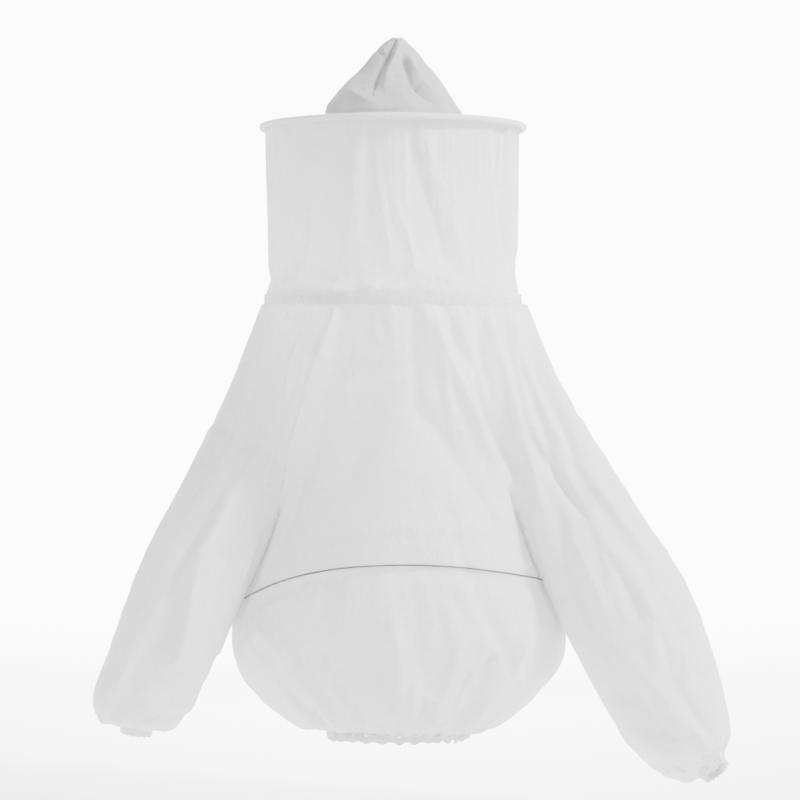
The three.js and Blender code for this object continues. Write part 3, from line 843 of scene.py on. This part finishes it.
def build_binding(name, side):
    """A folded strip sewn over the edge where the net meets the cloth."""
    middle = math.pi - side * (WINDOW_HALF_ANGLE + BINDING_ANGLE / 2)
    half = 0.0075 / VEIL_RADIUS
    profile = [(-1, -0.0012), (-0.98, 0.0012), (-0.8, 0.0021), (-0.4, 0.0024), (0, 0.0022), (0.4, 0.0024),
               (0.8, 0.0021), (0.98, 0.0012), (1, -0.0012), (0, -0.0020)]
    z = np.linspace(VEIL_HIGH, VEIL_LOW, 70)
    rows = []
    for height in z:
        row = []
        for share, lift in profile:
            ripple = 0.0004 * math.sin(height * 310 + side) + 0.0003 * math.sin(height * 740 + share)
            r = VEIL_RADIUS + lift + (ripple if lift > 0 else 0)
            a = middle + half * share
            row.append((r * math.sin(a), -r * math.cos(a), height))
        rows.append(row)
    made = grid_object(name, np.array(rows), around=True)
    subdivide(made)
    made.data.materials.append(binding_cotton)
    seams = []
    for k, share in enumerate((-0.72, 0.72)):
        a = middle + half * share
        radial = np.array((math.sin(a), -math.cos(a), 0))
        path = np.array([radial * (VEIL_RADIUS + 0.0023) + (0, 0, h) for h in z])
        seams.append(stitches(f"{name}_stitches_{k + 1}", path, np.tile(radial, (len(z), 1))))
    return made, seams


bindings = {side: build_binding(f"net_binding_{side}", sign) for side, sign in (("right", 1), ("left", -1))}


# ---- The neck band, hoop casing, brim and crown ---------------------------------------------------
def level_ring_path(radius, z, columns=720):
    angle = np.linspace(0, 2 * math.pi, columns)
    radial = np.stack([np.cos(angle), np.sin(angle), 0 * angle], 1)
    return radial * radius + (0, 0, z), radial


neck_band = ring_object("neck_band", (0, 0, 0), EX, EY, EZ, NECK_RADIUS, NECK_RADIUS,
                        rounded_section(-0.0012, 0.0017, -0.0050, 0.0105), 420, pleat_wobble(95, 0.0010, 0.0004, 31))
neck_band.data.materials.append(binding_cotton)
neck_stitches = [stitches(f"neck_stitches_{k + 1}", *level_ring_path(NECK_RADIUS + 0.0024, z))
                 for k, z in enumerate((0.0000, 0.0070))]

hoop_section = [(0.0046 * math.cos(math.pi * k / 8), 0.0046 * math.sin(math.pi * k / 8)) for k in range(16)]
hoop_casing = ring_object("hoop_casing", (0, 0, HOOP_Z), EX, EY, EZ, HOOP_RADIUS, HOOP_RADIUS, hoop_section, 360,
                          pleat_wobble(120, 0.0005, 0.0002, 33))
hoop_casing.data.materials.append(binding_cotton)
hoop_stitches = [stitches("hoop_stitches", *level_ring_path(HOOP_RADIUS + 0.0026, HOOP_Z - 0.0040))]


def build_brim():
    radius = np.linspace(0.0985, HOOP_RADIUS - 0.0030, 26)[:, None]
    angle = np.linspace(0, 2 * math.pi, 360, endpoint=False)[None, :]
    share = (radius - 0.0985) / 0.084
    z = HOOP_Z + 0.001 - 0.004 * np.sin(math.pi * share) + 0 * angle
    flat = np.stack([radius * np.cos(angle), radius * np.sin(angle), z], 2)
    ripple = 0.0016 * wave_noise(flat.reshape(-1, 3), 0.09, 41).reshape(z.shape)
    ripple += 0.0006 * np.sin(angle * 64 + 3 * np.sin(angle * 5)) * share ** 3
    flat[..., 2] += ripple * np.sin(math.pi * np.clip(share, 0, 1)) ** 0.5
    made = grid_object("brim_cloth", flat, around=True)
    made.data.materials.append(painted_shade_hat_cotton)
    return made


brim = build_brim()

CROWN_FOLDS = [
    (-1, [(0.004, 0.382), (-0.006, 0.356), (-0.018, 0.334), (-0.030, 0.300), (-0.034, 0.280)], 0.0055, -0.0055),
    (-1, [(0.008, 0.376), (0.004, 0.350), (-0.006, 0.325), (-0.014, 0.290)], 0.0060, 0.0045),
    (-1, [(0.012, 0.352), (0.020, 0.330), (0.026, 0.312), (0.041, 0.296), (0.070, 0.274)], 0.0045, -0.0050),
    (-1, [(0.020, 0.352), (0.030, 0.330), (0.042, 0.310), (0.064, 0.292)], 0.0055, 0.0040),
    (-1, [(0.041, 0.318), (0.034, 0.306), (0.028, 0.300)], 0.0030, -0.0022),
    (-1, [(-0.022, 0.360), (-0.012, 0.354)], 0.0030, -0.0030),
    (-1, [(-0.060, 0.300), (-0.040, 0.285), (-0.020, 0.276)], 0.0060, 0.0030),
    (1, [(0.004, 0.380), (0.014, 0.340), (0.020, 0.300), (0.030, 0.272)], 0.0060, -0.0050),
    (1, [(0.000, 0.376), (-0.014, 0.340), (-0.034, 0.300), (-0.050, 0.275)], 0.0060, -0.0045),
    (1, [(0.004, 0.372), (-0.002, 0.330), (-0.006, 0.290)], 0.0070, 0.0040),
]


def build_crown():
    rows = smooth_rows(CROWN, 70, 0.05)
    angle = np.linspace(0, 2 * math.pi, 220, endpoint=False)
    grid = []
    for z, centre, width, depth in rows:
        lens = 2 / (2 - 0.35 * float(smoothstep(0.26, 0.33, z)))
        c, s = np.cos(angle), np.sin(angle)
        grid.append(np.stack([centre + width * np.sign(c) * np.abs(c) ** lens,
                              depth * np.sign(s) * np.abs(s) ** lens, 0 * angle + z], 1))
    made = grid_object("crown_cloth", np.array(grid)[::-1], around=True)
    mesh = bmesh.new()
    mesh.from_mesh(made.data)
    top = sorted(mesh.verts, key=lambda v: v.co.z)[-220:]
    bmesh.ops.contextual_create(mesh, geom=top)
    bmesh.ops.recalc_face_normals(mesh, faces=mesh.faces)
    mesh.to_mesh(made.data)
    mesh.free()
    points, outward = coordinates(made), normals(made)
    height = 1.7 * fold_height(points, outward, CROWN_FOLDS) + 0.0020 * wave_noise(points, 0.06, 52)
    around = np.arctan2(points[:, 1], points[:, 0])
    height += 0.0012 * np.cos(15 * around + 2 * np.sin(3 * around)) * smoothstep(0.300, 0.262, points[:, 2])
    height += 0.0035 * np.exp(-((points[:, 2] - 0.2590) / 0.0035) ** 2)
    height -= 0.0025 * np.exp(-((points[:, 2] - 0.2680) / 0.0035) ** 2)
    height += 0.0020 * np.exp(-(points[:, 1] / 0.0025) ** 2) * smoothstep(0.255, 0.27, points[:, 2])
    set_coordinates(made, points + outward * height[:, None])
    subdivide(made)
    made.data.materials.append(painted_shade_hat_cotton)
    return made


crown = build_crown()


# ---- Hem, cuffs and piping -----------------------------------------------------------------------
hem_band = ring_object("hem_band", (0.008, 0, HEM_Z - 0.0045), EX, EY, EZ, 0.0935, 0.0755,
                       rounded_section(-0.0030, 0.0034, -0.0048, 0.0062), 420, pleat_wobble(27, 0.0070, 0.0034, 61))
hem_band.data.materials.append(jacket_cotton)
cuff_bands = {}
for side, rows, seed in (("left", LEFT_SLEEVE, 71), ("right", RIGHT_SLEEVE, 72)):
    centres, tangents, across, out, *_ = sleeve_axis(rows)
    cuff_bands[side] = ring_object(f"{side}_cuff_band", centres[-1] + tangents[-1] * 0.004, across[-1], out[-1],
                                   tangents[-1], 0.0168, 0.0168, rounded_section(-0.0020, 0.0026, -0.0058, 0.0056),
                                   220, pleat_wobble(15, 0.0040, 0.0018, seed))
    cuff_bands[side].data.materials.append(jacket_cotton)


def on_side(surface, xs, zs, lift, facing=-1, keep_misses=False):
    """Points on the back (or front) of a surface, raised a little, with the surface's normals there."""
    graph = bpy.context.evaluated_depsgraph_get()
    spots, directions = [], []
    for x, z in zip(xs, zs):
        hit, place, normal, _ = surface.ray_cast(Vector((x, 0.5 * facing, z)), Vector((0, -facing, 0)),
                                                 depsgraph=graph)
        if hit:
            spots.append(np.array(place + normal * lift))
            directions.append(np.array(normal))
        elif keep_misses:
            spots.append(np.full(3, np.nan))
            directions.append(np.zeros(3))
    return np.array(spots), np.array(directions)


def tube_along(name, path, radius, sides=8):
    run = np.gradient(path, axis=0)
    run /= np.linalg.norm(run, axis=1)[:, None]
    side = np.cross(run, EZ)
    side /= np.linalg.norm(side, axis=1)[:, None]
    up = np.cross(side, run)
    angle = np.linspace(0, 2 * math.pi, sides, endpoint=False)
    ring = np.cos(angle)[None, :, None] * side[:, None] + np.sin(angle)[None, :, None] * up[:, None]
    taper = np.ones(len(path))
    taper[0] = taper[-1] = 0.3
    return grid_object(name, path[:, None] + radius * taper[:, None, None] * ring, around=True)


# ---- The jacket's three pieces -------------------------------------------------------------------
def split_jacket():
    """Torso and two sleeves from the one cloth, whose normals carry over the cuts unchanged."""
    points, outward = coordinates(jacket), normals(jacket)
    count = len(jacket.data.polygons)
    corner = np.zeros(count * 4, int)
    jacket.data.loops.foreach_get("vertex_index", corner)
    faces = corner.reshape(-1, 4)
    middle = points[faces].mean(1)
    torso = np.abs(torso_distance(middle))
    part = np.zeros(count, int)
    for label, rows, sign in ((1, LEFT_SLEEVE, -1), (2, RIGHT_SLEEVE, 1)):
        outer = middle[:, 0] * sign > UNDERARM_X
        above = middle[:, 2] > UNDERARM_Z + 0.004
        nearer = np.abs(sleeve_distance(middle, rows)) < torso
        part[outer & (above | nearer)] = label
    pieces = []
    for label, name in enumerate(("torso_cloth", "left_sleeve_cloth", "right_sleeve_cloth")):
        mine = faces[part == label]
        used, local = np.unique(mine, return_inverse=True)
        piece = make_object(name, points[used], local.reshape(-1, 4))
        piece.data.normals_split_custom_set_from_vertices(outward[used].tolist())
        piece.data.materials.append(jacket_cotton)
        pieces.append(piece)
    bpy.data.objects.remove(jacket)
    return pieces


torso_cloth, left_cloth, right_cloth = split_jacket()

seam_x = np.linspace(-0.226, 0.236, 260)
seam_path, seam_facing = on_side(torso_cloth, seam_x, seam_z(seam_x), 0.0008)
turned = seam_facing[:, 1] < -0.25
seam_path, seam_facing = seam_path[turned], seam_facing[turned]
keep = 9
kernel = np.hanning(keep + 2)[1:-1] / np.hanning(keep + 2)[1:-1].sum()
seam_path[:, 1] = np.convolve(np.pad(seam_path[:, 1], keep // 2, "edge"), kernel, "valid")
piping = tube_along("seam_piping", seam_path, 0.00125)
piping.data.materials.append(grey_piping)
below_x = seam_path[:, 0]
below_path, below_facing = on_side(torso_cloth, below_x, seam_z(below_x) - 0.005, 0.0002)
piping_stitches = stitches("seam_stitches", below_path, below_facing)


def armhole_stitches(name, surface, side, facing):
    """Stitches just outside the armhole seam, where a sphere round the swing axis meets the cloth."""
    centre, sign = SWING[side], np.sign(SWING[side][0])
    angle = np.radians(np.linspace(70, -62, 110))
    across = np.full(len(angle), SHOULDER_REACH * 0.9)
    for _ in range(4):
        path, normal = on_side(surface, centre[0] + sign * across * np.cos(angle),
                               centre[2] + across * np.sin(angle), 0.0003, facing, True)
        depth = np.nan_to_num(path[:, 1])
        across = np.sqrt(np.maximum((SHOULDER_REACH + 0.005) ** 2 - depth ** 2, 0.06 ** 2))
    hit = ~np.isnan(path[:, 0]) & (np.abs(normal[:, 1]) > 0.2)
    return stitches(name, path[hit], normal[hit])


armholes = {side: [armhole_stitches(f"{side}_armhole_stitches_{label}", cloth, side, facing)
                   for label, facing in (("back", -1), ("front", 1))]
            for side, cloth in (("left", left_cloth), ("right", right_cloth))}


# ---- What moves with what ------------------------------------------------------------------------
for piece, side, sign in ((left_cloth, "left", -1), (right_cloth, "right", 1)):
    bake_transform(piece)
    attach(cuff_bands[side], f"{side}_sleeve")
    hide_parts(f"{side}_sleeve")
    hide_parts(f"{side}_cuff_casing")
    for seam in armholes[side]:
        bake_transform(seam)
for piece in (torso_cloth, neck_band, hem_band, piping, piping_stitches, *neck_stitches):
    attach(piece, "torso")
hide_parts("front_body_panel", "upper_back_panel", "lower_back_panel")
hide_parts("neck_casing")
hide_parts("hem_casing")
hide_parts("back_seam_piping")
for piece in (crown, brim, hoop_casing, *hoop_stitches):
    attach(piece, "hat")
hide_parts("crown_back_panel", "crown_front_panel")
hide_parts("hat_brim")
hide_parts("brim_casing")
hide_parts("veil_back_panel")
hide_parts("veil_mesh_window")
collapsing = [veil, window]
for side, (strip, seams) in bindings.items():
    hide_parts(f"window_binding_{side}")
    collapsing += [strip, *seams]


def follow_hat(obj):
    """Bakes the piece's placement into its mesh; the heights it reads from its points are not used."""
    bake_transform(obj)
    z = coordinates(obj)[:, 2]


for piece in collapsing:
    follow_hat(piece)


# ---- Floor, backdrop and lights ------------------------------------------------------------------
def backdrop():
    """A pale round studio: a floor that sweeps up into a wall on every side."""
    floor_z, wall, bend, top, columns = -0.72, 6.0, 1.6, 5.0, 96
    profile = [(0.01, floor_z), (wall - bend, floor_z)]
    for k in range(1, 17):
        angle = math.pi / 2 * k / 16
        profile.append((wall - bend + bend * math.sin(angle), floor_z + bend - bend * math.cos(angle)))
    profile.append((wall, top))
    around = np.linspace(0, 2 * math.pi, columns, endpoint=False)
    points = np.array([np.stack([r * np.cos(around), r * np.sin(around), z + 0 * around], 1) for r, z in profile])
    made = grid_object("backdrop", points, around=True)
    material = bpy.data.materials.new("pale_paper")
    material.use_nodes = True
    surface = material.node_tree.nodes["Principled BSDF"]
    surface.inputs["Base Color"].default_value = (0.93, 0.93, 0.93, 1)
    surface.inputs["Roughness"].default_value = 0.95
    made.data.materials.append(material)


def area_light(name, place, aim, size, power):
    data = bpy.data.lights.new(name, "AREA")
    data.shape, data.size, data.energy = "SQUARE", size, power
    made = bpy.data.objects.new(name, data)
    made.location = place
    made.rotation_euler = (Vector(aim) - Vector(place)).to_track_quat("-Z", "Y").to_euler()
    bpy.context.scene.collection.objects.link(made)


backdrop()
world = bpy.data.worlds.new("studio")
world.use_nodes = True
world.node_tree.nodes["Background"].inputs[0].default_value = (1, 1, 1, 1)
world.node_tree.nodes["Background"].inputs[1].default_value = 0.10
bpy.context.scene.world = world
area_light("key", (2.3, -1.1, 2.6), (0, 0, 0.10), 0.5, 350)
area_light("fill", (-2.6, -3.0, 1.4), (0, 0, 0.0), 2.4, 5)
area_light("through", (0.0, 1.5, 0.6), (0, 0, 0.10), 0.9, 110)
area_light("wall_left", (-2.6, 4.0, 2.2), (-0.8, 6.0, 0.6), 1.8, 560)
area_light("wall_right", (2.6, 4.0, 2.2), (0.8, 6.0, 0.6), 1.8, 560)
area_light("floor_wash", (0.0, 2.6, 2.2), (0, 4.2, -0.7), 1.6, 620)
area_light("room", (0.0, -1.0, 4.6), (0, -5.5, 0.0), 1.6, 30)
